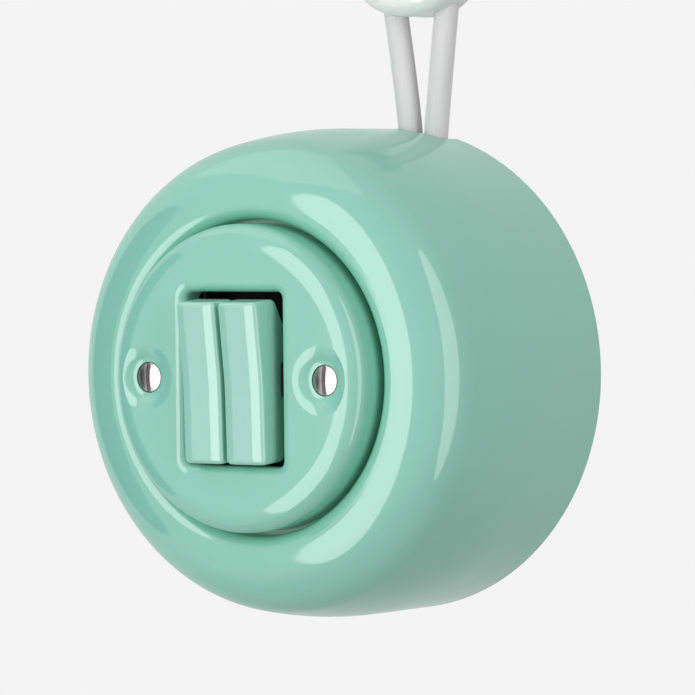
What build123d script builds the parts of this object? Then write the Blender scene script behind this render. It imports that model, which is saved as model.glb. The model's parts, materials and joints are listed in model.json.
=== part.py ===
from math import atan2, cos, degrees, radians, sin, sqrt, tan
import os

from build123d import *

# Porcelain surface switch with two rockers, fed by two textile leads from a
# porcelain wall insulator. Millimetres. The wall is the plane Y = 0, the front
# faces -Y, Z is up, and the origin is the centre of the back face.

# Casing, the round porcelain shell
casing_radius = 50.0
casing_wall = 5.0
casing_straight = 20.0
barrel_radius = 117.0
barrel_turn = 11.0
crest_width = 3.83
lip_round = 3.0
foot_round = 0.8
ledge_height = 47.0
ledge_thickness = 4.0
ledge_width = 4.3

# Cover, the round porcelain plate in the mouth of the casing
cover_radius = 30.9
cover_gap = 0.85
cover_rise = 11.4
cover_thickness = 5.4
cover_flat_radius = 26.0
cover_crown_radius = 7.2
cover_crown_turn = 25.0
cover_skirt_wall = 4.4
cover_inner_round = 2.0
window_width = 24.0
window_height = 34.7
window_corner = 1.4
window_edge_round = 2.0

# Cover screws and the dishes that they sit in
screw_spacing = 44.0
dish_radius = 7.3
dish_depth = 1.4
dish_lip_radius = 4.9
dish_over = 0.012
head_radius = 2.9
head_gap = 0.25
head_seat_depth = 1.6
head_rim_below_dish = 0.1
head_dome = 0.5
slot_width = 1.0
slot_depth = 1.1
screw_radius = 1.5
screw_hole_gap = 0.2
screw_reach = 5.5
boss_wall = 3.2
boss_overlap = 0.75

# Rockers, which tip about one steel axle
rocker_width = 9.6
rocker_spacing = 10.4
rocker_half_length = 16.2
rocker_stand = 3.6
rocker_bend = 2.6
rocker_bend_radius = 60.0
rocker_tilt = 4.5
rocker_shoulder_width = 2.2
rocker_shoulder_drop = 0.4
rocker_shoulder_round = 4.0
rocker_edge_round = 1.0
rocker_wall = 1.6
rocker_face_thickness = 2.8
rocker_skirt_drop = 6.5
hub_half_width = 4.0
hub_drop = 2.7
axle_over_frame = 10.0
axle_radius = 1.25
running_gap = 0.05
seat_gap = 0.02

# Plunger and spring in the stem of each rocker
stem_radius = 2.6
stem_drop = 9.0
stem_roof_wall = 0.9
plunger_radius = 1.5
plunger_tip_radius = 1.1
plunger_reach = 13.9
plunger_inside = 0.6
plunger_head_length = 2.0
plunger_gap = 0.1
spring_wire = 0.4
spring_pitch = 1.0

# Steel support frame, clamped under the casing's ledge, and its fixings
frame_thickness = 1.5
frame_radius = 38.0
frame_window_gap = 0.4
pillar_radius = 4.0
frame_screw_radius = 1.5
frame_screw_head = 2.8
frame_screw_gap = 0.6
frame_screw_head_height = 1.9
frame_screw_reach = 12.0
insert_radius = 2.9
insert_flange_radius = 4.2
insert_flange = 1.2
insert_length = 5.0

# Switch body, the dark moulding that carries axle and contacts
body_half_width = 11.8
body_half_length = 18.5
body_depth = 21.0
well_depth = 16.0
body_corner = 2.0
well_half_width = 4.5
well_half_length = 13.5
cheek_thickness = 1.5
cheek_foot = 9.0
cheek_head = 3.4
cheek_rise = 2.6
tab_half_width = 5.0
tab_reach = 5.0
tab_thickness = 2.5
tab_screw_inset = 2.6
tab_screw_radius = 1.2
tab_screw_head = 2.3
tab_screw_head_height = 1.5
stop_inner = 6.0
stop_outer = 10.5

# Contacts
contact_pin_under_axle = 15.75
contact_pin_radius = 0.8
contact_tilt = 6.0
contact_width = 5.0
contact_half_length = 9.4
contact_plate = 1.2
contact_hub_radius = 2.3
contact_hub_drop = 1.1
contact_top = 1.55
button_offset = 8.0
button_radius = 1.5
button_height = 0.8
contact_air = 0.35
strip = 1.2
ear_thickness = 0.8
ear_offset = 3.4
ear_half_width = 2.0
ear_over_pin = 1.8
anvil_inner = 6.0
anvil_outer = 11.0
tail_end = 17.2
tail_width = 2.6

# Cage terminals at the top of the switch body
terminal_spacing = 8.0
cage_half_width = 2.7
cage_depth = 5.0
cage_start = 14.6
cage_end = 18.3
cage_bore = 2.0
cage_bore_rise = 0.3
cage_gap = 0.1
clamp_radius = 1.3
clamp_head_height = 2.0
clamp_tip_drop = 1.65

# Wall base
base_thickness = 4.0
base_gap = 0.5
base_rim = 2.0
base_rim_height = 8.0
wall_screw_spacing = 60.0
wall_slot_length = 8.0
wall_slot_width = 4.5
cable_channel_start = 28.5

# Leads: two round textile leads, and the notch that lets them in
lead_radius = 2.55
core_radius = 0.6
notch_centre = 8.7
notch_width = 12.8
notch_depth = 6.3
notch_corner = 2.4
left_route = [
    (0.0, -18.0, 25.8),
    (2.6, -7.4, 33.4),
    (5.0, -3.2, 41.0),
    (5.65, -3.2, 50.5),
    (0.9, -3.2, 79.5),
]
right_route = [
    (8.0, -18.0, 25.8),
    (9.2, -7.4, 33.4),
    (11.1, -3.2, 41.0),
    (11.7, -3.2, 50.5),
    (15.2, -3.2, 79.5),
]
arc_share = 0.45
core_drop = 1.0
core_end = 15.2
core_bend = 2.0
core_gap = 0.15

# Insulator, an oval porcelain knob screwed to the wall above the switch
insulator_centre = (8.05, 79.5)
insulator_half_width = 11.6
insulator_half_height = 6.6
insulator_depth = 11.2
insulator_round = 3.4
insulator_hole_radius = 2.0
insulator_sink_radius = 3.4
insulator_sink_depth = 2.2
insulator_foot_round = 0.5

# Values that follow from the sizes above
mouth_radius = cover_radius + cover_gap
barrel_inset = barrel_radius * (1 - cos(radians(barrel_turn)))
shoulder_reach = casing_radius - barrel_inset - mouth_radius - crest_width
shoulder_radius = shoulder_reach / cos(radians(barrel_turn))
cover_face = ledge_height + cover_rise
cover_bore = cover_radius - cover_skirt_wall
dish_bottom = cover_face - dish_depth
head_rim = dish_bottom - head_rim_below_dish
head_bottom = dish_bottom - head_seat_depth
frame_height = ledge_height - ledge_thickness
frame_back = frame_height - frame_thickness
pillar_offset = (mouth_radius - ledge_width - frame_screw_head - frame_screw_gap) / sqrt(2)
axle_height = frame_height + axle_over_frame
rocker_centre = rocker_spacing / 2
rocker_out = cover_face + rocker_stand - axle_height
body_back = frame_height - body_depth
body_floor = frame_height - well_depth
contact_pin_height = axle_height - contact_pin_under_axle
contact_step = 2 * contact_tilt
cage_bore_height = body_floor + cage_bore_rise
clamp_tip = cage_bore_height - clamp_tip_drop
core_height = cage_bore_height - core_drop
side_signs = {"left": -1, "right": 1}

round_section = Plane(origin=(0, 0, 0), x_dir=(1, 0, 0), z_dir=(0, 0, -1))
wall_axis = Axis((0, 0, 0), (0, 1, 0))

os.makedirs("parts", exist_ok=True)


def front(height):
    """A plane parallel to the wall, facing the room."""
    return Plane.XZ.offset(height)


def side(across, height, tilt=0.0):
    """A plane seen from the right, its x up the wall and its y out of it, tipped by tilt."""
    turn = radians(tilt)
    return Plane(
        origin=(across, -height, 0),
        x_dir=(0, -sin(turn), cos(turn)),
        z_dir=(1, 0, 0),
    )


def section_at(across, up=0.0):
    """A plane through an axis that stands on the wall, for turned shapes."""
    return Plane(origin=(across, 0, up), x_dir=(1, 0, 0), z_dir=(0, 0, -1))


def out_axis(across, up=0.0):
    return Axis((across, 0, up), (0, 1, 0))


def along_key(key_plane, edge, across, lowest):
    """Whether an edge runs lengthwise on a rocker's face, at that distance across it."""
    middle = key_plane.to_local_coords(edge @ 0.5)
    within = abs(middle.X) < rocker_half_length - 0.1
    return within and middle.Y > lowest and abs(middle.Z - across) < 0.05


def on_rim(key_plane, edge, lowest):
    """Whether an edge lies round the outside of a rocker's face and down its corners."""
    middle = key_plane.to_local_coords(edge @ 0.5)
    outside = (
        abs(abs(middle.Z) - rocker_width / 2) < 0.01
        or abs(abs(middle.X) - rocker_half_length) < 0.02
    )
    return outside and middle.Y > lowest


def lead_path(points):
    """Bend radii at each inner point of a lead, from its runs and turns."""
    corners = [Vector(*point) for point in points]
    radii = []
    for before, here, after in zip(corners, corners[1:], corners[2:]):
        turn = (here - before).get_angle(after - here)
        run = min((here - before).length, (after - here).length)
        radii.append(arc_share * run / tan(radians(turn) / 2))
    return radii


# Casing
with BuildPart() as casing:
    with BuildSketch(round_section):
        with BuildLine():
            foot = Line((0, 0), (casing_radius, 0))
            wall = Line(foot @ 1, (casing_radius, casing_straight))
            barrel = JernArc(wall @ 1, wall % 1, barrel_radius, barrel_turn)
            shoulder = JernArc(barrel @ 1, barrel % 1, shoulder_radius, 90 - barrel_turn)
            crest = Line(shoulder @ 1, (0, (shoulder @ 1).Y))
            Line(crest @ 1, foot @ 0)
        make_face()
        with BuildLine():
            inner_foot = Line((0, 0), (casing_radius - casing_wall, 0))
            inner_wall = Line(inner_foot @ 1, (casing_radius - casing_wall, casing_straight))
            inner_barrel = JernArc(
                inner_wall @ 1, inner_wall % 1, barrel_radius - casing_wall, barrel_turn
            )
            inner_shoulder = JernArc(
                inner_barrel @ 1, inner_barrel % 1, shoulder_radius - casing_wall, 90 - barrel_turn
            )
            rib = Line(inner_shoulder @ 1, ((inner_shoulder @ 1).X, ledge_height - ledge_thickness))
            ceiling = Line(rib @ 1, (0, ledge_height - ledge_thickness))
            Line(ceiling @ 1, inner_foot @ 0)
        make_face(mode=Mode.SUBTRACT)
        with Locations((0, ledge_height - ledge_thickness)):
            Rectangle(
                mouth_radius - ledge_width,
                ledge_thickness * 2,
                align=(Align.MIN, Align.CENTER),
                mode=Mode.SUBTRACT,
            )
        with Locations((0, ledge_height)):
            Rectangle(
                mouth_radius,
                casing_radius,
                align=(Align.MIN, Align.MIN),
                mode=Mode.SUBTRACT,
            )
        crest_height = (shoulder @ 1).Y
        fillet(vertices().sort_by_distance((mouth_radius, crest_height))[0], lip_round)
        fillet(vertices().sort_by_distance((casing_radius, 0))[0], foot_round)
    revolve(axis=wall_axis)
    with BuildSketch(Plane.XY.offset(casing_radius - 3 * casing_wall)):
        with Locations((notch_centre, 0)):
            Rectangle(notch_width, 2 * notch_depth)
        fillet(vertices().group_by(Axis.Y)[0], notch_corner)
    extrude(amount=4 * casing_wall, mode=Mode.SUBTRACT)
casing.part.label = "casing"
export_step(casing.part, "parts/casing.step")

# Cover plate
with BuildPart() as cover_plate:
    with BuildSketch(round_section):
        with BuildLine():
            face = Line((0, cover_face), (cover_flat_radius, cover_face))
            crown = JernArc(face @ 1, face % 1, cover_crown_radius, -cover_crown_turn)
            corner_radius = (cover_radius - (crown @ 1).X) / (1 - sin(radians(cover_crown_turn)))
            corner = JernArc(crown @ 1, crown % 1, corner_radius, cover_crown_turn - 90)
            Polyline(corner @ 1, (cover_radius, ledge_height), (0, ledge_height), face @ 0)
        make_face()
        fillet(vertices().sort_by_distance((cover_radius, ledge_height))[0], foot_round)
        with Locations((0, ledge_height)):
            Rectangle(
                cover_bore,
                cover_face - cover_thickness - ledge_height,
                align=(Align.MIN, Align.MIN),
                mode=Mode.SUBTRACT,
            )
        hollow_corner = (cover_bore, cover_face - cover_thickness)
        fillet(vertices().sort_by_distance(hollow_corner)[0], cover_inner_round)
    revolve(axis=wall_axis)
    with BuildSketch(front(ledge_height)):
        with GridLocations(screw_spacing, 0, 2, 1):
            Circle(screw_radius + screw_hole_gap + boss_wall)
    extrude(amount=cover_face - cover_thickness - ledge_height + boss_overlap)
    with BuildSketch(front(ledge_height)):
        RectangleRounded(window_width, window_height, window_corner)
    extrude(amount=cover_face - ledge_height, mode=Mode.SUBTRACT)
    window_rim = (
        edges()
        .filter_by(lambda edge: edge.bounding_box().max.Y - edge.bounding_box().min.Y < 0.01)
        .filter_by_position(Axis.Y, -cover_face - 0.01, -cover_face + 0.01)
        .filter_by_position(Axis.X, -window_width / 2 - 0.01, window_width / 2 + 0.01)
        .filter_by_position(Axis.Z, -window_height / 2 - 0.01, window_height / 2 + 0.01)
    )
    fillet(window_rim.filter_by(lambda edge: edge.length < 4 * window_height), window_edge_round)
    for across in (-screw_spacing / 2, screw_spacing / 2):
        flat_radius = head_radius + head_gap
        dish_turn = 2 * atan2(dish_depth + dish_over, dish_radius - flat_radius)
        hollow_radius = (dish_radius - flat_radius) / sin(dish_turn) - dish_lip_radius
        with BuildSketch(section_at(across)):
            with BuildLine():
                flat = Line((0, dish_bottom), (flat_radius, dish_bottom))
                hollow = JernArc(flat @ 1, flat % 1, hollow_radius, degrees(dish_turn))
                lip_arc = JernArc(hollow @ 1, hollow % 1, dish_lip_radius, -degrees(dish_turn))
                top = Line(lip_arc @ 1, (0, cover_face + dish_over))
                Line(top @ 1, flat @ 0)
            make_face()
            with Locations((0, head_bottom)):
                Rectangle(flat_radius, head_seat_depth + 0.1, align=(Align.MIN, Align.MIN))
            with Locations((0, ledge_height)):
                Rectangle(
                    screw_radius + screw_hole_gap,
                    head_bottom - ledge_height,
                    align=(Align.MIN, Align.MIN),
                )
        revolve(axis=out_axis(across), mode=Mode.SUBTRACT)
cover_plate.part.label = "cover_plate"
export_step(cover_plate.part, "parts/cover_plate.step")

# Cover screws: raised cheese heads with a slot
with BuildPart() as cover_screws:
    for across in (-screw_spacing / 2, screw_spacing / 2):
        with BuildSketch(section_at(across)):
            with BuildLine():
                shank_end = frame_height - screw_reach
                base = Line((0, shank_end), (screw_radius, shank_end))
                shank = Line(base @ 1, (screw_radius, head_bottom))
                seat = Line(shank @ 1, (head_radius, head_bottom))
                rim = Line(seat @ 1, (head_radius, head_rim))
                dome = ThreePointArc(
                    rim @ 1,
                    (head_radius * 0.55, head_rim + head_dome * 0.72),
                    (0, head_rim + head_dome),
                )
                Line(dome @ 1, base @ 0)
            make_face()
        revolve(axis=out_axis(across))
    with BuildSketch(front(head_rim + head_dome - slot_depth)):
        with GridLocations(screw_spacing, 0, 2, 1):
            Rectangle(slot_width, 3 * head_radius)
    extrude(amount=2 * slot_depth, mode=Mode.SUBTRACT)
cover_screws.part.label = "cover_screws"
export_step(cover_screws.part, "parts/cover_screws.step")

# Rockers, each tipped about the axle so that its top stands out
for hand, sign in side_signs.items():
    tipped = side(sign * rocker_centre, axle_height, rocker_tilt)
    end_out = rocker_out + rocker_half_length * tan(radians(rocker_bend))
    skirt_out = end_out - rocker_skirt_drop
    roof_out = rocker_out - rocker_face_thickness
    with BuildPart() as rocker:
        with BuildSketch(tipped):
            with BuildLine():
                Polyline(
                    (-rocker_half_length, skirt_out),
                    (-rocker_half_length, end_out),
                    (0, rocker_out),
                    (rocker_half_length, end_out),
                    (rocker_half_length, skirt_out),
                    (hub_half_width, -hub_drop),
                    (-hub_half_width, -hub_drop),
                    close=True,
                )
            make_face()
            fillet(vertices().sort_by_distance((0, rocker_out))[0], rocker_bend_radius)
        extrude(amount=rocker_width / 2, both=True)
        for flank in (-rocker_width / 2, rocker_width / 2):
            flank_face = faces().sort_by_distance(tipped.from_local_coords(Vector(0, 0, flank)))[0]
            long_edges = edges().filter_by(
                lambda edge: along_key(tipped, edge, flank, rocker_out - 0.2)
            )
            chamfer(long_edges, rocker_shoulder_drop, rocker_shoulder_width, reference=flank_face)
        for shoulder_line in (-1, 1):
            inset = shoulder_line * (rocker_width / 2 - rocker_shoulder_width)
            fillet(
                edges().filter_by(lambda edge: along_key(tipped, edge, inset, rocker_out - 0.2)),
                rocker_shoulder_round,
            )
        rim_edges = edges().filter_by(lambda edge: on_rim(tipped, edge, skirt_out + 0.1))
        fillet(rim_edges, rocker_edge_round)
        with BuildSketch(tipped):
            with Locations((0, roof_out)):
                Rectangle(
                    2 * (rocker_half_length - rocker_wall),
                    roof_out + 2 * hub_drop,
                    align=(Align.CENTER, Align.MAX),
                )
        extrude(amount=rocker_width / 2 - rocker_wall, both=True, mode=Mode.SUBTRACT)
        stem_plane = Plane(tipped.from_local_coords(Vector(0, -stem_drop, 0)), (1, 0, 0), tipped.y_dir)
        with BuildSketch(stem_plane):
            Circle(stem_radius)
        extrude(amount=stem_drop + roof_out + 0.5)
        bore_depth = stem_drop - axle_radius - running_gap - stem_roof_wall
        with BuildSketch(stem_plane):
            Circle(plunger_radius + plunger_gap)
        extrude(amount=bore_depth, mode=Mode.SUBTRACT)
        with BuildSketch(tipped):
            Circle(axle_radius + running_gap)
        extrude(amount=rocker_width, both=True, mode=Mode.SUBTRACT)
    rocker.part.label = f"rocker_{hand}"
    export_step(rocker.part, f"parts/rocker_{hand}.step")

    # Plunger with a round tip and a head that the spring pushes on
    bore_top = bore_depth - stem_drop
    shoulder_out = plunger_inside - stem_drop
    with BuildPart() as plunger:
        with BuildSketch(tipped):
            with BuildLine():
                tip = CenterArc((0, plunger_tip_radius - plunger_reach), plunger_tip_radius, -90, 90)
                neck = Line(tip @ 1, (plunger_tip_radius, shoulder_out))
                step = Line(neck @ 1, (plunger_radius, shoulder_out + 0.4))
                collar = Line(step @ 1, (plunger_radius, shoulder_out + plunger_head_length))
                back = Line(collar @ 1, (0, shoulder_out + plunger_head_length))
                Line(back @ 1, tip @ 0)
            make_face()
        revolve(axis=Axis(tipped.origin, tipped.y_dir))
    plunger.part.label = f"plunger_{hand}"
    export_step(plunger.part, f"parts/plunger_{hand}.step")

    # Coil spring between the plunger and the roof of its bore
    spring_low = shoulder_out + plunger_head_length + spring_wire / 2
    spring_high = bore_top - spring_wire / 2
    coil_radius = plunger_radius - spring_wire / 2
    with BuildPart() as plunger_spring:
        with BuildLine():
            coil = Helix(
                pitch=spring_pitch,
                height=spring_high - spring_low,
                radius=coil_radius,
                center=tipped.from_local_coords(Vector(0, spring_low, 0)),
                direction=tipped.y_dir,
            )
        with BuildSketch(Plane(coil @ 0, z_dir=coil % 0)):
            Circle(spring_wire / 2)
        sweep(path=coil, is_frenet=True)
    plunger_spring.part.label = f"plunger_spring_{hand}"
    export_step(plunger_spring.part, f"parts/plunger_spring_{hand}.step")

# Axle that both rockers tip on
with BuildPart() as rocker_axle:
    with BuildSketch(side(0, axle_height)):
        Circle(axle_radius)
    extrude(amount=body_half_width, both=True)
    chamfer(edges().filter_by(GeomType.CIRCLE), 0.3)
rocker_axle.part.label = "rocker_axle"
export_step(rocker_axle.part, "parts/rocker_axle.step")

# Switch body
tab_screw_up = body_half_length + tab_reach - tab_screw_inset
with BuildPart() as switch_body:
    with BuildSketch(front(body_back)):
        RectangleRounded(2 * body_half_width, 2 * body_half_length, body_corner)
    extrude(amount=frame_back - body_back)
    with BuildSketch(front(frame_back - tab_thickness)):
        RectangleRounded(2 * tab_half_width, 2 * (body_half_length + tab_reach), body_corner)
    extrude(amount=tab_thickness)
    for sign in side_signs.values():
        outer = sign * body_half_width
        with BuildSketch(side(outer, 0)):
            with BuildLine():
                Polyline(
                    (-cheek_foot, frame_back),
                    (-cheek_head, axle_height + cheek_rise),
                    (cheek_head, axle_height + cheek_rise),
                    (cheek_foot, frame_back),
                    close=True,
                )
            make_face()
            fillet(vertices().group_by(Axis.Y)[-1], cheek_head / 2)
            with Locations((0, axle_height)):
                Circle(axle_radius + seat_gap, mode=Mode.SUBTRACT)
        extrude(amount=-sign * cheek_thickness)
        with BuildSketch(front(body_floor)):
            with Locations((sign * rocker_centre, 0)):
                RectangleRounded(2 * well_half_width, 2 * well_half_length, body_corner / 2)
        extrude(amount=frame_back - body_floor, mode=Mode.SUBTRACT)
    stop_height = contact_pin_height + contact_top - contact_plate - button_height
    with BuildSketch(front(body_floor)):
        for sign in side_signs.values():
            with Locations((sign * rocker_centre, -(stop_inner + stop_outer) / 2)):
                Rectangle(contact_width, stop_outer - stop_inner)
    stop_sink = button_offset * sin(radians(contact_tilt)) + contact_air
    extrude(amount=stop_height - stop_sink - body_floor)
    with BuildSketch(front(body_floor)):
        Rectangle(2 * (rocker_centre + ear_offset + ear_thickness), 2 * ear_half_width + 2 * cage_gap)
        with Locations((0, tail_end / 2)):
            Rectangle(tail_width + 2 * cage_gap, tail_end)
        with Locations((0, (anvil_outer + tail_end) / 2)):
            with GridLocations(2 * terminal_spacing, 0, 2, 1):
                Rectangle(tail_width + 2 * cage_gap, tail_end - anvil_outer)
    extrude(amount=strip + cage_gap, mode=Mode.SUBTRACT)
    with BuildSketch(front(body_back)):
        with Locations((0, (cage_start + body_half_length) / 2)):
            with GridLocations(terminal_spacing, 0, 3, 1):
                Rectangle(
                    2 * (cage_half_width + cage_gap),
                    body_half_length - cage_start + 2 * cage_gap,
                )
    cage_top = cage_bore_height + cage_depth / 2
    extrude(amount=cage_top + cage_gap - body_back, mode=Mode.SUBTRACT)
    with BuildSketch(front(frame_back - tab_thickness)):
        with GridLocations(0, 2 * tab_screw_up, 1, 2):
            Circle(tab_screw_radius + seat_gap)
    extrude(amount=tab_thickness, mode=Mode.SUBTRACT)
switch_body.part.label = "switch_body"
export_step(switch_body.part, "parts/switch_body.step")

# Steel support frame, with its window for the rockers
with BuildPart() as support_frame:
    with BuildSketch(front(frame_back)):
        Circle(frame_radius)
        Rectangle(2 * frame_radius, 2 * (tab_screw_up + 2 * tab_screw_head), mode=Mode.INTERSECT)
        RectangleRounded(
            2 * (body_half_width + frame_window_gap),
            2 * (well_half_length + body_corner),
            body_corner,
            mode=Mode.SUBTRACT,
        )
        with GridLocations(screw_spacing, 0, 2, 1):
            Circle(insert_radius + seat_gap, mode=Mode.SUBTRACT)
        with Locations((-pillar_offset, pillar_offset), (pillar_offset, -pillar_offset)):
            Circle(frame_screw_radius + screw_hole_gap, mode=Mode.SUBTRACT)
        with GridLocations(0, 2 * tab_screw_up, 1, 2):
            Circle(tab_screw_radius + seat_gap, mode=Mode.SUBTRACT)
    extrude(amount=frame_thickness)
support_frame.part.label = "support_frame"
export_step(support_frame.part, "parts/support_frame.step")

# Threaded bushes in the frame, which take the cover screws
with BuildPart() as frame_inserts:
    for across in (-screw_spacing / 2, screw_spacing / 2):
        with BuildSketch(front(frame_height)):
            with Locations((across, 0)):
                Circle(insert_flange_radius)
        extrude(amount=insert_flange)
        with BuildSketch(front(frame_height)):
            with Locations((across, 0)):
                Circle(insert_radius)
        extrude(amount=-insert_length)
        with BuildSketch(front(frame_height + insert_flange)):
            with Locations((across, 0)):
                Circle(screw_radius + seat_gap)
        extrude(amount=-insert_length - insert_flange, mode=Mode.SUBTRACT)
frame_inserts.part.label = "frame_inserts"
export_step(frame_inserts.part, "parts/frame_inserts.step")

# Screws that hold the frame to the pillars of the wall base, and the switch body to the frame
screw_groups = {
    "frame_screws": (
        [(-pillar_offset, pillar_offset), (pillar_offset, -pillar_offset)],
        (frame_screw_radius, frame_screw_reach),
        (frame_screw_head, frame_screw_head_height),
    ),
    "body_screws": (
        [(0, -tab_screw_up), (0, tab_screw_up)],
        (tab_screw_radius, frame_thickness + tab_thickness),
        (tab_screw_head, tab_screw_head_height),
    ),
}
for name, (places, (radius, reach), (head, head_height)) in screw_groups.items():
    with BuildPart() as screws:
        with BuildSketch(front(frame_height)):
            with Locations(*places):
                Circle(head)
        extrude(amount=head_height)
        with BuildSketch(front(frame_height)):
            with Locations(*places):
                Circle(radius)
        extrude(amount=-reach)
        with BuildSketch(front(frame_height + head_height)):
            with Locations(*places):
                Rectangle(slot_width, 3 * head)
        extrude(amount=-head_height / 2, mode=Mode.SUBTRACT)
    screws.part.label = name
    export_step(screws.part, f"parts/{name}.step")

# Moving contacts: a brass seesaw on a pin under each rocker
for hand, sign in side_signs.items():
    leaning = side(sign * rocker_centre, contact_pin_height, -contact_tilt)
    with BuildPart() as moving_contact:
        with BuildSketch(leaning):
            with Locations((0, contact_top)):
                Rectangle(
                    2 * contact_half_length, contact_plate, align=(Align.CENTER, Align.MAX)
                )
            with Locations((0, -contact_hub_drop)):
                Circle(contact_hub_radius)
            Circle(contact_pin_radius + running_gap, mode=Mode.SUBTRACT)
        extrude(amount=contact_width / 2, both=True)
        button_plane = Plane(
            leaning.from_local_coords(Vector(0, contact_top - contact_plate, 0)),
            (1, 0, 0),
            -leaning.y_dir,
        )
        with BuildSketch(button_plane):
            with GridLocations(0, 2 * button_offset, 1, 2):
                Circle(button_radius)
        extrude(amount=button_height)
    moving_contact.part.label = f"moving_contact_{hand}"
    export_step(moving_contact.part, f"parts/moving_contact_{hand}.step")

    # Fixed contact: an anvil with a silver button, a riser and a tail to its cage terminal
    anvil_height = stop_height - stop_sink - button_height
    with BuildPart() as switched_terminal:
        with BuildSketch(side(sign * rocker_centre, 0)):
            with BuildLine():
                Polyline(
                    (anvil_inner, anvil_height),
                    (anvil_outer, anvil_height),
                    (anvil_outer, body_floor + strip),
                    (well_half_length, body_floor + strip),
                    (well_half_length, body_floor),
                    (anvil_outer - strip, body_floor),
                    (anvil_outer - strip, anvil_height - strip),
                    (anvil_inner, anvil_height - strip),
                    close=True,
                )
            make_face()
        extrude(amount=contact_width / 2, both=True)
        with BuildSketch(front(body_floor)):
            with Locations((sign * terminal_spacing, (anvil_outer + tail_end) / 2)):
                Rectangle(tail_width, tail_end - anvil_outer)
        extrude(amount=strip)
        with BuildSketch(front(anvil_height)):
            with Locations((sign * rocker_centre, button_offset)):
                Circle(button_radius)
        extrude(amount=button_height)
    switched_terminal.part.label = f"switched_terminal_{hand}"
    export_step(switched_terminal.part, f"parts/switched_terminal_{hand}.step")

# Common terminal: one strip under both gangs, with ears for the contact pins
with BuildPart() as common_terminal:
    with BuildSketch(front(body_floor)):
        Rectangle(2 * (rocker_centre + ear_offset + ear_thickness / 2), 2 * ear_half_width)
        with Locations((0, tail_end / 2)):
            Rectangle(tail_width, tail_end)
    extrude(amount=strip)
    for sign in side_signs.values():
        for offset in (-ear_offset, ear_offset):
            with BuildSketch(side(sign * rocker_centre + offset, 0)):
                with Locations((0, body_floor)):
                    Rectangle(
                        2 * ear_half_width,
                        contact_pin_height + ear_over_pin - body_floor,
                        align=(Align.CENTER, Align.MIN),
                    )
                fillet(vertices().group_by(Axis.Y)[-1], ear_half_width * 0.9)
                with Locations((0, contact_pin_height)):
                    Circle(contact_pin_radius + seat_gap, mode=Mode.SUBTRACT)
            extrude(amount=ear_thickness / 2, both=True)
common_terminal.part.label = "common_terminal"
export_step(common_terminal.part, "parts/common_terminal.step")

# Pins that the moving contacts tip on
with BuildPart() as contact_pins:
    for sign in side_signs.values():
        with BuildSketch(side(sign * rocker_centre, contact_pin_height)):
            Circle(contact_pin_radius)
        extrude(amount=ear_offset + ear_thickness, both=True)
contact_pins.part.label = "contact_pins"
export_step(contact_pins.part, "parts/contact_pins.step")

# Cage terminals and their clamp screws
with BuildPart() as terminal_cages:
    with BuildSketch(Plane.XY.offset(cage_start)):
        with Locations((0, -cage_bore_height)):
            with GridLocations(terminal_spacing, 0, 3, 1):
                Rectangle(2 * cage_half_width, cage_depth)
                Circle(cage_bore, mode=Mode.SUBTRACT)
    extrude(amount=cage_end - cage_start)
    with BuildSketch(front(cage_bore_height - cage_depth)):
        with Locations((0, (cage_start + cage_end) / 2)):
            with GridLocations(terminal_spacing, 0, 3, 1):
                Circle(clamp_radius + seat_gap)
    extrude(amount=cage_depth, mode=Mode.SUBTRACT)
terminal_cages.part.label = "terminal_cages"
export_step(terminal_cages.part, "parts/terminal_cages.step")

with BuildPart() as terminal_screws:
    cage_back = cage_bore_height - cage_depth / 2
    with BuildSketch(front(cage_back - clamp_head_height)):
        with Locations((0, (cage_start + cage_end) / 2)):
            with GridLocations(terminal_spacing, 0, 3, 1):
                Circle(clamp_radius)
    extrude(amount=clamp_tip - cage_back + clamp_head_height)
    with BuildSketch(front(cage_back - clamp_head_height)):
        with Locations((0, (cage_start + cage_end) / 2)):
            with GridLocations(terminal_spacing, 0, 3, 1):
                Rectangle(slot_width / 2, 3 * clamp_radius)
    extrude(amount=slot_width / 2, mode=Mode.SUBTRACT)
terminal_screws.part.label = "terminal_screws"
export_step(terminal_screws.part, "parts/terminal_screws.step")

# Wall base with two pillars for the frame
with BuildPart() as wall_base:
    with BuildSketch(front(0)):
        Circle(casing_radius - casing_wall - base_gap)
    extrude(amount=base_thickness)
    with BuildSketch(front(base_thickness)):
        Circle(casing_radius - casing_wall - base_gap)
        Circle(casing_radius - casing_wall - base_gap - base_rim, mode=Mode.SUBTRACT)
    extrude(amount=base_rim_height - base_thickness)
    with BuildSketch(front(base_thickness)):
        with Locations((-pillar_offset, pillar_offset), (pillar_offset, -pillar_offset)):
            Circle(pillar_radius)
    extrude(amount=frame_back - base_thickness)
    with BuildSketch(front(frame_back)):
        with Locations((-pillar_offset, pillar_offset), (pillar_offset, -pillar_offset)):
            Circle(frame_screw_radius + seat_gap)
    extrude(amount=-frame_screw_reach, mode=Mode.SUBTRACT)
    with BuildSketch(front(0)):
        with GridLocations(wall_screw_spacing, 0, 2, 1):
            SlotOverall(wall_slot_length, wall_slot_width)
    extrude(amount=base_thickness, mode=Mode.SUBTRACT)
    with BuildSketch(front(0)):
        with Locations((notch_centre, (cable_channel_start + casing_radius) / 2)):
            Rectangle(notch_width + 2 * notch_corner, casing_radius - cable_channel_start)
        fillet(vertices().group_by(Axis.Y)[0], notch_corner)
    extrude(amount=base_rim_height, mode=Mode.SUBTRACT)
wall_base.part.label = "wall_base"
export_step(wall_base.part, "parts/wall_base.step")

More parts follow.
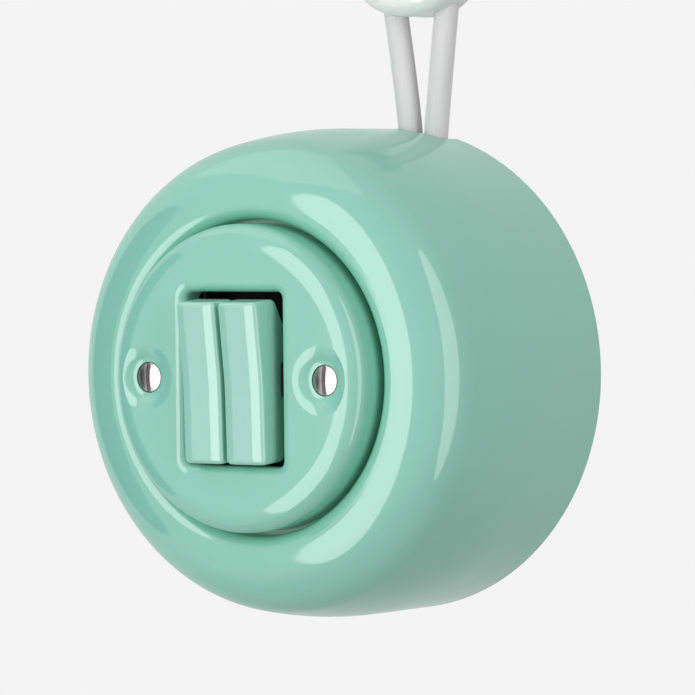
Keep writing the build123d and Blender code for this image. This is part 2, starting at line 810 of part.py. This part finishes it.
# Leads: straight runs and tangent arcs from the terminals to the insulator
routes = {"left": left_route, "right": right_route}
for hand, route in routes.items():
    radii = lead_path(route)
    print(f"lead_{hand} bend radii", [round(radius, 1) for radius in radii])
    with BuildPart() as lead:
        with BuildLine():
            line = FilletPolyline(*route, radius=radii)
        with BuildSketch(Plane(line @ 0, z_dir=line % 0)):
            Circle(lead_radius)
        sweep(path=line)
    print(f"lead_{hand} length", round(line.length, 1), "volume", round(lead.part.volume, 1))
    lead.part.label = f"lead_{hand}"
    export_step(lead.part, f"parts/lead_{hand}.step")

# Bared copper ends of the leads, bent into their cage terminals
with BuildPart() as lead_cores:
    for route in routes.values():
        heading = (Vector(*route[0]) - Vector(*route[1])).normalized()
        start = Vector(*route[0]) + heading * core_gap
        bend_rise = heading.Z * (-core_height - start.Y) / heading.Y
        bend = Vector(start.X, -core_height, start.Z + bend_rise)
        with BuildLine():
            core_line = FilletPolyline(
                start, bend, (start.X, -core_height, core_end), radius=core_bend
            )
        with BuildSketch(Plane(core_line @ 0, z_dir=core_line % 0)):
            Circle(core_radius)
        sweep(path=core_line)
lead_cores.part.label = "lead_cores"
export_step(lead_cores.part, "parts/lead_cores.step")

# Insulator: an oval knob with a blind socket for each lead
insulator_x, insulator_z = insulator_centre
with BuildPart() as insulator:
    with BuildSketch(front(0)):
        with Locations(insulator_centre):
            Ellipse(insulator_half_width, insulator_half_height)
    extrude(amount=insulator_depth)
    fillet(faces().sort_by(Axis.Y)[0].edges(), insulator_round)
    fillet(faces().sort_by(Axis.Y)[-1].edges(), insulator_foot_round)
    with BuildSketch(section_at(insulator_x, insulator_z)):
        with BuildLine():
            Polyline(
                (0, 0),
                (insulator_hole_radius, 0),
                (insulator_hole_radius, insulator_depth - insulator_sink_depth),
                (insulator_sink_radius, insulator_depth),
                (0, insulator_depth),
                close=True,
            )
        make_face()
    revolve(axis=out_axis(insulator_x, insulator_z), mode=Mode.SUBTRACT)
    for route in routes.values():
        last = Vector(*route[-1])
        before = Vector(*route[-2])
        heading = (before - last).normalized()
        with BuildSketch(Plane(last, z_dir=heading)):
            Circle(lead_radius + seat_gap)
        extrude(amount=2 * insulator_half_height, mode=Mode.SUBTRACT)
insulator.part.label = "insulator"
export_step(insulator.part, "parts/insulator.step")
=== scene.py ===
import json
import math
from collections import namedtuple

import bpy
from mathutils import Matrix, Vector


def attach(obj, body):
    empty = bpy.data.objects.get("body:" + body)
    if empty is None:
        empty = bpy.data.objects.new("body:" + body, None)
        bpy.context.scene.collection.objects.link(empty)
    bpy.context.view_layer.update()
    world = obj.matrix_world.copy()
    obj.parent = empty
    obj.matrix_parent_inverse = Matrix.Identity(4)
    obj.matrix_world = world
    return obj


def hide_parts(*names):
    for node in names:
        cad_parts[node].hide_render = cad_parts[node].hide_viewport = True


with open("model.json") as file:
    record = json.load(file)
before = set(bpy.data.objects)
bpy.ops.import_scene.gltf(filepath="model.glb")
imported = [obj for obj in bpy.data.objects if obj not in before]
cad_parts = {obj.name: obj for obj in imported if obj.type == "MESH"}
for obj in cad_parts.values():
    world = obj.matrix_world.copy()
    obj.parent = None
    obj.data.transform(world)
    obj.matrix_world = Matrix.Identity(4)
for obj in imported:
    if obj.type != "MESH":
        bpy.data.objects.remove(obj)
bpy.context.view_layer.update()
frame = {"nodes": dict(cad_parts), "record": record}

# Porcelain surface switch with two rockers, on its two textile leads.
# Metres, in the frame of the CAD part: wall at Y = 0, front towards -Y, Z up.

print("loaded", len(frame["nodes"]), "CAD nodes")


def wayOut(look):
    # From the object outwards, by degrees round from the front and degrees up.
    azimuth, elevation = math.radians(look["azimuth"]), math.radians(look["elevation"])
    return Vector((
        math.sin(azimuth) * math.cos(elevation),
        -math.cos(azimuth) * math.cos(elevation),
        math.sin(elevation),
    ))


cameraLook = {
    "azimuth": 35.448,        # degrees round from the front, towards the right
    "elevation": 2.18,
    "roll": 0.567,
    "pan": -0.643,            # small turns off the line to the origin
    "tilt": -0.257,
    "distance": 1.0,
    "focalPixels": 4790.0,
    "imageWidth": 695,
    "sensorWidth": 36.0,
    "clipStart": 0.01,
}


def aimCamera(look):
    back = wayOut(look)
    azimuth = math.radians(look["azimuth"])
    right = Vector((math.cos(azimuth), math.sin(azimuth), 0))
    facing = Matrix((right, back.cross(right), back))
    turned = (
        Matrix.Rotation(math.radians(look["roll"]), 3, "Z")
        @ Matrix.Rotation(math.radians(look["tilt"]), 3, "X")
        @ Matrix.Rotation(math.radians(look["pan"]), 3, "Y")
        @ facing
    )
    lens = bpy.data.cameras.new("camera")
    lens.sensor_width = look["sensorWidth"]
    lens.lens = look["focalPixels"] * look["sensorWidth"] / look["imageWidth"]
    lens.clip_start = look["clipStart"]
    camera = bpy.data.objects.new("camera", lens)
    place = Matrix.Translation(back * look["distance"])
    camera.matrix_world = place @ turned.transposed().to_4x4()
    bpy.context.scene.collection.objects.link(camera)
    bpy.context.scene.camera = camera


aimCamera(cameraLook)
print("camera set")


leadLook = {
    "diameter": 0.0051,
    "curveSteps": 48,         # points read from the spline for each of its runs
    "carriers": 24,           # strands wound each way
    "turn": 0.0148,           # length of one turn of a strand
    "stepsPerCrossing": 2,
    "strandWidth": 0.94,      # share of the room that a strand has
    "crown": 0.00013,         # how far a strand's middle stands up
    "weave": 0.00011,         # how far strands dive under each other
    "diveShift": 0.5,         # in crossings, where on a strand the dives fall
    "sharpAngle": 70,         # degrees, so that only the strands' edges are creased
    "coreSides": 48,
    "coreStride": 6,          # the core has a ring at every sixth station
    "lengths": {"left": 0.0609, "right": 0.0604},
    "routes": {
        "left": [
            (0.0, -0.018, 0.0258),
            (0.0026, -0.0074, 0.0334),
            (0.0050, -0.0032, 0.0410),
            (0.00565, -0.0032, 0.0505),
            (0.0009, -0.0032, 0.0795),
        ],
        "right": [
            (0.0080, -0.018, 0.0258),
            (0.0092, -0.0074, 0.0334),
            (0.0111, -0.0032, 0.0410),
            (0.0117, -0.0032, 0.0505),
            (0.0152, -0.0032, 0.0795),
        ],
    },
}

# A place on a lead's line: how far along it lies, and its three directions
Station = namedtuple("Station", "length centre across upward along")


def splinePoints(route, look):
    curve = bpy.data.curves.new("guide", "CURVE")
    curve.dimensions = "3D"
    curve.resolution_u = look["curveSteps"]
    spline = curve.splines.new("NURBS")
    spline.points.add(len(route) - 1)
    for point, place in zip(spline.points, route):
        point.co = (*place, 1)
    spline.order_u = 3
    spline.use_endpoint_u = True
    guide = bpy.data.objects.new("guide", curve)
    bpy.context.scene.collection.objects.link(guide)
    sampled = bpy.data.meshes.new_from_object(guide)
    points = [vertex.co.copy() for vertex in sampled.vertices]
    bpy.data.objects.remove(guide)
    bpy.data.curves.remove(curve)
    bpy.data.meshes.remove(sampled)
    return points


def evenStations(points, step):
    # Even steps, with two directions across the line that don't twist round it.
    runs = [(b - a).length for a, b in zip(points, points[1:])]
    total = sum(runs)
    count = max(2, round(total / step))
    stations = []
    across = before = None
    index, passed = 0, 0.0
    for n in range(count + 1):
        wanted = total * n / count
        while index < len(runs) - 1 and passed + runs[index] < wanted:
            passed += runs[index]
            index += 1
        share = min(1.0, (wanted - passed) / runs[index])
        centre = points[index].lerp(points[index + 1], share)
        here = (points[index + 1] - points[index]).normalized()
        ahead = points[min(index + 2, len(points) - 1)] - points[min(index + 1, len(points) - 2)]
        along = here.lerp(ahead.normalized(), share / 2).normalized()
        if across is None:
            across = along.orthogonal().normalized()
        else:
            across = before.rotation_difference(along) @ across
            across = (across - along * across.dot(along)).normalized()
        before = along
        stations.append(Station(wanted, centre, across, along.cross(across), along))
    return stations


def addTube(vertices, faces, rings):
    # A closed tube: each ring joined to the one before it, and a face at both ends.
    last = None
    for ring in rings:
        start, count = len(vertices), len(ring)
        vertices.extend(ring)
        if last is None:
            faces.append(tuple(reversed(range(start, start + count))))
        else:
            for i in range(count):
                j = (i + 1) % count
                faces.append((last + i, last + j, start + j, start + i))
        last = start
    faces.append(tuple(range(last, last + count)))


def coreRing(station, radius, sides):
    turns = [2 * math.pi * side / sides for side in range(sides)]
    return [
        station.centre
        + (station.across * math.cos(turn) + station.upward * math.sin(turn)) * radius
        for turn in turns
    ]


def strandRing(station, strand, way, middle, look):
    # The four corners of a strand's section: edge, underside, other edge and crest.
    carriers, crown = look["carriers"], look["crown"]
    turns = station.length / look["turn"]
    roundLead = 2 * math.pi * middle
    lean = math.atan2(roundLead, look["turn"])
    halfWidth = look["strandWidth"] * roundLead / carriers * math.cos(lean) / 2
    angle = 2 * math.pi * (strand / carriers + way * turns)
    outward = station.across * math.cos(angle) + station.upward * math.sin(angle)
    around = station.upward * math.cos(angle) - station.across * math.sin(angle)
    widthWay = around * math.cos(lean) - station.along * (way * math.sin(lean))
    crossings = 2 * (strand + way * carriers * turns)
    dive = math.cos(math.pi / 2 * (crossings - look["diveShift"]))
    base = station.centre + outward * (middle + way * look["weave"] * dive)
    return [
        base - widthWay * halfWidth,
        base - outward * crown,
        base + widthWay * halfWidth,
        base + outward * crown,
    ]


def braidedLead(name, points, look):
    middle = look["diameter"] / 2 - look["crown"] - look["weave"]
    step = look["turn"] / (2 * look["carriers"] * look["stepsPerCrossing"])
    stations = evenStations(points, step)
    coreStations = stations[::look["coreStride"]] + stations[-1:]
    coreRadius = middle - look["weave"]
    vertices, faces = [], []
    addTube(vertices, faces, [
        coreRing(station, coreRadius, look["coreSides"]) for station in coreStations
    ])
    crests = [0.0] * len(vertices)      # 1 on a strand's crest, 0 at its edges, where the braid's material paints shade
    for way in (1, -1):
        for strand in range(look["carriers"]):
            addTube(vertices, faces, [
                strandRing(station, strand, way, middle, look) for station in stations
            ])
            crests.extend([0.0, 0.0, 0.0, 1.0] * len(stations))
    mesh = bpy.data.meshes.new(name)
    mesh.from_pydata([tuple(vertex) for vertex in vertices], [], faces)
    mesh.attributes.new("crest", "FLOAT", "POINT").data.foreach_set("value", crests)
    mesh.update()
    mesh.shade_smooth()
    mesh.set_sharp_from_angle(angle=math.radians(look["sharpAngle"]))
    lead = bpy.data.objects.new(name, mesh)
    bpy.context.scene.collection.objects.link(lead)
    return lead


leads = []
for hand, route in leadLook["routes"].items():
    points = splinePoints(route, leadLook)
    lead = braidedLead(f"braided_lead_{hand}", points, leadLook)
    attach(lead, "root")
    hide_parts(f"lead_{hand}")
    leads.append(lead)
    print("lead", hand, len(lead.data.polygons), "faces")


def linear(red, green, blue):
    # A colour given as it looks on screen, 0 to 255, made linear.
    parts = [part / 255 for part in (red, green, blue)]
    return tuple(p / 12.92 if p <= 0.04045 else ((p + 0.055) / 1.055) ** 2.4 for p in parts)


def feed(links, value, socket):
    # A node's input takes another node's output or a plain value.
    if isinstance(value, bpy.types.NodeSocket):
        links.new(value, socket)
    else:
        socket.default_value = value


def calculate(nodes, links, operation, *values):
    node = nodes.new("ShaderNodeMath")
    node.operation = operation
    for value, socket in zip(values, node.inputs):
        feed(links, value, socket)
    return node.outputs[0]


def stretch(nodes, links, value, span, newSpan=(0.0, 1.0)):
    # A value within the one span, moved to the other and clamped to it.
    node = nodes.new("ShaderNodeMapRange")
    for label, number in zip(("From Min", "From Max", "To Min", "To Max"), (*span, *newSpan)):
        node.inputs[label].default_value = number
    links.new(value, node.inputs["Value"])
    return node.outputs[0]


def mixColours(nodes, links, factor, first, second):
    node = nodes.new("ShaderNodeMix")
    node.data_type = "RGBA"
    for label, value in (("Factor", factor), ("A", first), ("B", second)):
        feed(links, value, node.inputs[label])
    return node.outputs["Result"]


def noise(nodes, links, vector, values):
    texture = nodes.new("ShaderNodeTexNoise")
    for label, value in values.items():
        feed(links, value, texture.inputs[label])
    links.new(vector, texture.inputs["Vector"])
    return texture.outputs["Fac"]


def newMaterial(name, shaderValues):
    material = bpy.data.materials.new(name)
    material.use_nodes = True
    nodes, links = material.node_tree.nodes, material.node_tree.links
    shader = nodes["Principled BSDF"].inputs
    for label, value in shaderValues.items():
        shader[label].default_value = value
    return material, nodes, links, shader


worldLook = {
    "background": 0.905,      # linear, the pale grey behind the object
    "fill": 0.44,             # what the room gives from all round
}

floorLook = {
    "height": -0.85,
    "size": 12.0,
    "colour": (0.92, 0.92, 0.92, 1),
    "farColour": (0, 0, 0, 1),          # out there the floor only shows the background
    "fade": (0.60, 1.80),               # its own shading ends between these distances
    "shader": {
        "Roughness": 0.9,
        "Specular IOR Level": 0.0,
        "Emission Color": (1, 1, 1, 1),
    },
}

# The lamps and the card stand round this point
studioTarget = (0.0, -0.030, 0.0)

lampLooks = {
    "frontBox": {
        "azimuth": -14, "elevation": -3, "distance": 0.62, "shape": "ELLIPSE",
        "width": 0.42, "height": 1.06, "radiance": 2.0,
    },
    "sideBox": {
        "azimuth": 74, "elevation": 5, "distance": 0.75, "shape": "ELLIPSE",
        "width": 0.36, "height": 1.55, "radiance": 1.4,
    },
    "topBox": {
        "azimuth": -60, "elevation": 62, "distance": 0.80, "shape": "RECTANGLE",
        "width": 0.70, "height": 0.70, "radiance": 0.45,
    },
}

flagLook = {
    "azimuth": -68, "elevation": 0, "distance": 0.70,
    "width": 0.62, "height": 0.62, "sides": 64,
    "shader": {"Base Color": (0.05, 0.05, 0.05, 1), "Roughness": 0.9},
}


def backgroundMask(nodes, links):
    # 1 for rays that see the background: from the camera, in gloss and through glass.
    path = nodes.new("ShaderNodeLightPath").outputs
    seen = calculate(nodes, links, "MAXIMUM", path["Is Camera Ray"], path["Is Glossy Ray"])
    return calculate(nodes, links, "MAXIMUM", seen, path["Is Transmission Ray"])


def buildWorld(look):
    world = bpy.data.worlds.new("studio")
    bpy.context.scene.world = world
    world.use_nodes = True
    nodes, links = world.node_tree.nodes, world.node_tree.links
    background = nodes["Background"].inputs
    background["Color"].default_value = (1, 1, 1, 1)
    levels = (look["fill"], look["background"])
    level = stretch(nodes, links, backgroundMask(nodes, links), (0.0, 1.0), levels)
    links.new(level, background["Strength"])


def buildFloor(look, background):
    half, height = look["size"] / 2, look["height"]
    corners = [(-half, -half), (half, -half), (half, half), (-half, half)]
    mesh = bpy.data.meshes.new("floor")
    mesh.from_pydata([(x, y, height) for x, y in corners], [], [(0, 1, 2, 3)])
    floor = bpy.data.objects.new("floor", mesh)
    bpy.context.scene.collection.objects.link(floor)
    material, nodes, links, shader = newMaterial("paleFloor", look["shader"])
    reach = nodes.new("ShaderNodeVectorMath")
    reach.operation = "LENGTH"
    links.new(nodes.new("ShaderNodeTexCoord").outputs["Object"], reach.inputs[0])
    fade = stretch(nodes, links, reach.outputs["Value"], look["fade"])
    fade.node.interpolation_type = "SMOOTHSTEP"
    tone = mixColours(nodes, links, fade, look["colour"], look["farColour"])
    links.new(tone, shader["Base Color"])
    glow = calculate(nodes, links, "MULTIPLY", fade, background)
    shown = calculate(nodes, links, "MULTIPLY", glow, backgroundMask(nodes, links))
    links.new(shown, shader["Emission Strength"])
    mesh.materials.append(material)


def standAround(made, look):
    away = wayOut(look)
    place = Vector(studioTarget) + away * look["distance"]
    facing = away.to_track_quat("Z", "Y").to_matrix().to_4x4()
    made.matrix_world = Matrix.Translation(place) @ facing
    bpy.context.scene.collection.objects.link(made)


def buildLamp(name, look):
    data = bpy.data.lights.new(name, "AREA")
    data.shape = look["shape"]
    data.size = look["width"]
    data.size_y = look["height"]
    area = look["width"] * look["height"] * (math.pi / 4 if look["shape"] == "ELLIPSE" else 1)
    data.energy = look["radiance"] * 4 * area      # the watts that give this radiance
    standAround(bpy.data.objects.new(name, data), look)


def buildFlag(look):
    # A dark card that shows in gloss alone, so that polished screws have a dark side.
    turns = [2 * math.pi * side / look["sides"] for side in range(look["sides"])]
    wide, high = look["width"] / 2, look["height"] / 2
    rim = [(math.cos(turn) * wide, math.sin(turn) * high, 0) for turn in turns]
    mesh = bpy.data.meshes.new("flag")
    mesh.from_pydata(rim, [], [tuple(range(len(rim)))])
    mesh.materials.append(newMaterial("darkCard", look["shader"])[0])
    flag = bpy.data.objects.new("flag", mesh)
    standAround(flag, look)
    flag.visible_camera = False
    flag.visible_diffuse = False
    flag.visible_shadow = False


buildWorld(worldLook)
buildFloor(floorLook, worldLook["background"])
for name, look in lampLooks.items():
    buildLamp(name, look)
buildFlag(flagLook)
bpy.context.scene.view_settings.view_transform = "Standard"
print("studio set")


def newGroup(name, inputs):
    # Each group puts out the same three things.
    outputs = {"Color": "Color", "Roughness": "Float", "Height": "Float"}
    group = bpy.data.node_groups.new(name, "ShaderNodeTree")
    for direction, sockets in (("INPUT", inputs), ("OUTPUT", outputs)):
        for label, kind in sockets.items():
            kindName = f"NodeSocket{kind}"
            group.interface.new_socket(label, in_out=direction, socket_type=kindName)
    given = group.nodes.new("NodeGroupInput").outputs
    out = group.nodes.new("NodeGroupOutput").inputs
    return group, group.nodes, group.links, given, out


# Fired glaze: a slow drift of tone, a rippled surface and a few pinholes
glazeSkinLook = {
    "sockets": {
        "Colour": "Color", "Thick Colour": "Color", "Drift": "Float",
        "Roughness": "Float", "Pinholes": "Float",
    },
    "drift": {"Scale": 38.0, "Detail": 3.0},
    "driftSpan": (0.3, 0.7),
    "pinholeCells": 260.0,
    "pinholeEdge": (0.02, 0.07),        # from a cell's middle, in cells
    "pinholePatches": {"Scale": 90.0, "Detail": 1.0},
    "pinholeSpan": (0.66, 0.70),        # only where the patches are this strong
    "pinholeColour": (0.10, 0.12, 0.11, 1),
    "smear": {"Scale": 120.0, "Detail": 2.0},
    "smearSpan": (0.3, 0.7),
    "smearAdded": (-0.03, 0.03),        # to the roughness
    "ripple": {"Scale": 55.0, "Detail": 1.0},
    "fineRipple": {"Scale": 420.0, "Detail": 1.0},
    "fineShare": 0.08,
}


def makeGlazeSkin(look):
    group, nodes, links, given, out = newGroup("glazeSkin", look["sockets"])
    place = nodes.new("ShaderNodeTexCoord").outputs["Object"]
    drift = noise(nodes, links, place, look["drift"])
    drift = stretch(nodes, links, drift, look["driftSpan"])
    tint = calculate(nodes, links, "MULTIPLY", drift, given["Drift"])
    toned = mixColours(nodes, links, tint, given["Colour"], given["Thick Colour"])
    cells = nodes.new("ShaderNodeTexVoronoi")
    cells.inputs["Scale"].default_value = look["pinholeCells"]
    links.new(place, cells.inputs["Vector"])
    pits = stretch(nodes, links, cells.outputs["Distance"], look["pinholeEdge"], (1.0, 0.0))
    patches = noise(nodes, links, place, look["pinholePatches"])
    patches = stretch(nodes, links, patches, look["pinholeSpan"])
    pits = calculate(nodes, links, "MULTIPLY", pits, patches)
    pits = calculate(nodes, links, "MULTIPLY", pits, given["Pinholes"])
    links.new(mixColours(nodes, links, pits, toned, look["pinholeColour"]), out["Color"])
    smear = noise(nodes, links, place, look["smear"])
    smear = stretch(nodes, links, smear, look["smearSpan"], look["smearAdded"])
    links.new(calculate(nodes, links, "ADD", given["Roughness"], smear), out["Roughness"])
    ripple = noise(nodes, links, place, look["ripple"])
    fine = noise(nodes, links, place, look["fineRipple"])
    height = calculate(nodes, links, "MULTIPLY_ADD", fine, look["fineShare"], ripple)
    links.new(calculate(nodes, links, "SUBTRACT", height, pits), out["Height"])
    return group


# Rolled or drawn metal: streaks along one direction, dull patches and fine scratches
metalGrainLook = {
    "sockets": {
        "Colour": "Color", "Dull Colour": "Color", "Dullness": "Float",
        "Stretch": "Vector", "Roughness": "Float",
    },
    "streaks": {"Scale": 900.0, "Detail": 3.0, "Roughness": 0.6},
    "patches": {"Scale": 210.0, "Detail": 3.0},
    "patchSpan": (0.35, 0.65),
    "dullRoughness": 0.25,              # added where the metal is dull
    "streakShare": 0.08,
}


def makeMetalGrain(look):
    group, nodes, links, given, out = newGroup("metalGrain", look["sockets"])
    place = nodes.new("ShaderNodeTexCoord").outputs["Object"]
    scaled = nodes.new("ShaderNodeVectorMath")
    scaled.operation = "MULTIPLY"
    links.new(place, scaled.inputs[0])
    links.new(given["Stretch"], scaled.inputs[1])
    streaks = noise(nodes, links, scaled.outputs[0], look["streaks"])
    patches = noise(nodes, links, place, look["patches"])
    patches = stretch(nodes, links, patches, look["patchSpan"])
    dull = calculate(nodes, links, "MULTIPLY", patches, given["Dullness"])
    toned = mixColours(nodes, links, dull, given["Colour"], given["Dull Colour"])
    links.new(toned, out["Color"])
    rough = given["Roughness"]
    rough = calculate(nodes, links, "MULTIPLY_ADD", dull, look["dullRoughness"], rough)
    rough = calculate(nodes, links, "MULTIPLY_ADD", streaks, look["streakShare"], rough)
    links.new(rough, out["Roughness"])
    links.new(streaks, out["Height"])
    return group


# Moulded plastic: slight flow marks and a fine grain
mouldedGrainLook = {
    "sockets": {
        "Colour": "Color", "Flow Colour": "Color", "Flow": "Float",
        "Roughness": "Float", "Grain Scale": "Float",
    },
    "flow": {"Scale": 70.0, "Detail": 4.0},
    "flowSpan": (0.3, 0.7),
    "grainDetail": 2.0,
    "grainShare": 0.06,
}


def makeMouldedGrain(look):
    group, nodes, links, given, out = newGroup("mouldedGrain", look["sockets"])
    place = nodes.new("ShaderNodeTexCoord").outputs["Object"]
    flow = noise(nodes, links, place, look["flow"])
    flow = stretch(nodes, links, flow, look["flowSpan"])
    amount = calculate(nodes, links, "MULTIPLY", flow, given["Flow"])
    toned = mixColours(nodes, links, amount, given["Colour"], given["Flow Colour"])
    links.new(toned, out["Color"])
    grainValues = {"Scale": given["Grain Scale"], "Detail": look["grainDetail"]}
    grain = noise(nodes, links, place, grainValues)
    rough = given["Roughness"]
    rough = calculate(nodes, links, "MULTIPLY_ADD", grain, look["grainShare"], rough)
    links.new(rough, out["Roughness"])
    links.new(grain, out["Height"])
    return group


groups = {
    "glazeSkin": makeGlazeSkin(glazeSkinLook),
    "metalGrain": makeMetalGrain(metalGrainLook),
    "mouldedGrain": makeMouldedGrain(mouldedGrainLook),
}
print("finish groups made")


# Each bump is a height in metres and its strength
finishLooks = {
    "casing_glaze": {
        "group": "glazeSkin",
        "sockets": {
            "Colour": linear(139, 207, 186),
            "Thick Colour": linear(136, 205, 183),
            "Drift": 0.4,
            "Roughness": 0.38,
            "Pinholes": 0.04,
        },
        "shader": {
            "IOR": 1.5, "Specular IOR Level": 0.2,
            "Coat Weight": 0.42, "Coat Roughness": 0.06, "Coat IOR": 2.4,
        },
        "bump": (0.00003, 0.2),
    },
    "pale_glaze": {
        "group": "glazeSkin",
        "sockets": {
            "Colour": linear(253, 254, 253),
            "Thick Colour": linear(250, 253, 251),
            "Drift": 0.4,
            "Roughness": 0.26,
            "Pinholes": 0.04,
        },
        "shader": {
            "IOR": 1.5, "Specular IOR Level": 0.0,
            "Coat Weight": 0.42, "Coat Roughness": 0.06, "Coat IOR": 2.4,
        },
        "bump": (0.00003, 0.2),
    },
    "rocker_gloss": {
        "group": "mouldedGrain",
        "sockets": {
            "Colour": linear(160, 217, 199),
            "Flow Colour": linear(157, 215, 197),
            "Flow": 0.3,
            "Roughness": 0.30,
            "Grain Scale": 2400.0,
        },
        "shader": {
            "IOR": 1.5, "Specular IOR Level": 0.2,
            "Coat Weight": 0.42, "Coat Roughness": 0.08, "Coat IOR": 2.4,
        },
        "bump": (0.000004, 0.1),
    },
    "polished_nickel": {
        "group": "metalGrain",
        "sockets": {
            "Colour": linear(186, 180, 180),
            "Dull Colour": linear(150, 143, 142),
            "Dullness": 0.25,
            "Stretch": (1.0, 1.0, 1.0),
            "Roughness": 0.20,
        },
        "shader": {"Metallic": 1.0},
        "bump": (0.00001, 0.3),
    },
    # Near black, so that the frame seen through the gaps round the rockers reads as dark as
    # those deep gaps: painted shade
    "blackened_steel": {
        "group": "metalGrain",
        "sockets": {
            "Colour": linear(34, 34, 36),
            "Dull Colour": linear(22, 21, 21),
            "Dullness": 0.6,
            "Stretch": (0.15, 1.0, 1.0),
            "Roughness": 0.55,
        },
        "shader": {"IOR": 1.5, "Specular IOR Level": 0.2},
        "bump": (0.00001, 0.4),
    },
    "zinc_steel": {
        "group": "metalGrain",
        "sockets": {
            "Colour": linear(196, 200, 205),
            "Dull Colour": linear(150, 152, 150),
            "Dullness": 0.5,
            "Stretch": (0.15, 1.0, 1.0),
            "Roughness": 0.32,
        },
        "shader": {"Metallic": 1.0},
        "bump": (0.00001, 0.4),
    },
    "spring_steel": {
        "group": "metalGrain",
        "sockets": {
            "Colour": linear(170, 172, 176),
            "Dull Colour": linear(110, 112, 116),
            "Dullness": 0.5,
            "Stretch": (1.0, 1.0, 1.0),
            "Roughness": 0.25,
        },
        "shader": {"Metallic": 1.0},
        "bump": (0.00001, 0.3),
    },
    "contact_brass": {
        "group": "metalGrain",
        "sockets": {
            "Colour": linear(212, 178, 100),
            "Dull Colour": linear(150, 112, 60),
            "Dullness": 0.55,
            "Stretch": (1.0, 1.0, 0.15),
            "Roughness": 0.28,
        },
        "shader": {"Metallic": 1.0},
        "bump": (0.00001, 0.4),
    },
    "bare_copper": {
        "group": "metalGrain",
        "sockets": {
            "Colour": linear(222, 148, 112),
            "Dull Colour": linear(150, 84, 58),
            "Dullness": 0.5,
            "Stretch": (1.0, 1.0, 0.1),
            "Roughness": 0.25,
        },
        "shader": {"Metallic": 1.0},
        "bump": (0.00001, 0.4),
    },
    "dark_moulding": {
        "group": "mouldedGrain",
        "sockets": {
            "Colour": linear(22, 22, 23),
            "Flow Colour": linear(32, 31, 30),
            "Flow": 0.6,
            "Roughness": 0.55,
            "Grain Scale": 1200.0,
        },
        "shader": {"IOR": 1.5, "Specular IOR Level": 0.25},
        "bump": (0.00002, 0.5),
    },
    "base_moulding": {
        "group": "mouldedGrain",
        "sockets": {
            "Colour": linear(228, 226, 218),
            "Flow Colour": linear(214, 211, 200),
            "Flow": 0.5,
            "Roughness": 0.5,
            "Grain Scale": 1100.0,
        },
        "shader": {"IOR": 1.5},
        "bump": (0.00003, 0.5),
    },
}

braidLook = {
    "colour": (*linear(254, 251, 252), 1),
    # The shade colour serves both the real dust and the painted shade along the strands' edges
    "dustAndShadeColour": (*linear(222, 218, 219), 1),
    "edgeShade": 0.50,           # painted shade along a strand's edges, for the shade in the gaps between strands
    "filaments": {"Scale": 5200.0, "Detail": 2.0},
    "wear": {"Scale": 300.0, "Detail": 3.0},
    "wearSpan": (0.3, 0.7),
    "wearShown": (0.4, 1.0),  # how much of the dust shows
    "dust": 0.12,
    "shader": {"Roughness": 0.75, "Sheen Weight": 0.25},
    "bump": (0.00003, 0.6),
}


def addBump(nodes, links, height, look):
    bump = nodes.new("ShaderNodeBump")
    bump.inputs["Distance"].default_value, bump.inputs["Strength"].default_value = look["bump"]
    links.new(height, bump.inputs["Height"])
    return bump.outputs["Normal"]


def buildFinish(slot, look):
    material, nodes, links, shader = newMaterial(slot, look["shader"])
    skin = nodes.new("ShaderNodeGroup")
    skin.node_tree = groups[look["group"]]
    for label, value in look["sockets"].items():
        socket = skin.inputs[label]
        socket.default_value = (*value, 1) if socket.type == "RGBA" else value
    links.new(skin.outputs["Color"], shader["Base Color"])
    links.new(skin.outputs["Roughness"], shader["Roughness"])
    normal = addBump(nodes, links, skin.outputs["Height"], look)
    links.new(normal, shader["Normal"])
    if "Coat Weight" in look["shader"]:
        links.new(normal, shader["Coat Normal"])
    return material


def buildBraid(slot, look):
    material, nodes, links, shader = newMaterial(slot, look["shader"])
    place = nodes.new("ShaderNodeTexCoord").outputs["Object"]
    hairs = noise(nodes, links, place, look["filaments"])
    wear = noise(nodes, links, place, look["wear"])
    wear = stretch(nodes, links, wear, look["wearSpan"], look["wearShown"])
    dust = calculate(nodes, links, "MULTIPLY", hairs, wear)
    # Painted shade: the crest attribute darkens each strand towards its edges, where the gaps
    # between strands are in shade
    crest = nodes.new("ShaderNodeAttribute")
    crest.attribute_name = "crest"
    edge = stretch(nodes, links, crest.outputs["Fac"], (0.0, 1.0), (look["edgeShade"], 0.0))
    # The amount mixes the real dust with the painted edge shade
    amount = calculate(nodes, links, "MULTIPLY_ADD", dust, look["dust"], edge)
    toned = mixColours(nodes, links, amount, look["colour"], look["dustAndShadeColour"])
    links.new(toned, shader["Base Color"])
    links.new(addBump(nodes, links, hairs, look), shader["Normal"])
    return material


finishes = {slot: buildFinish(slot, look) for slot, look in finishLooks.items()}
finishes["textile_braid"] = buildBraid("textile_braid", braidLook)
for part in frame["record"]["subparts"]:
    mesh = frame["nodes"][part["node"]].data
    mesh.materials.clear()
    mesh.materials.append(finishes[part["material_slot"]])
for lead in leads:
    lead.data.materials.append(finishes["textile_braid"])
print("finishes set")


bpy.context.view_layer.update()
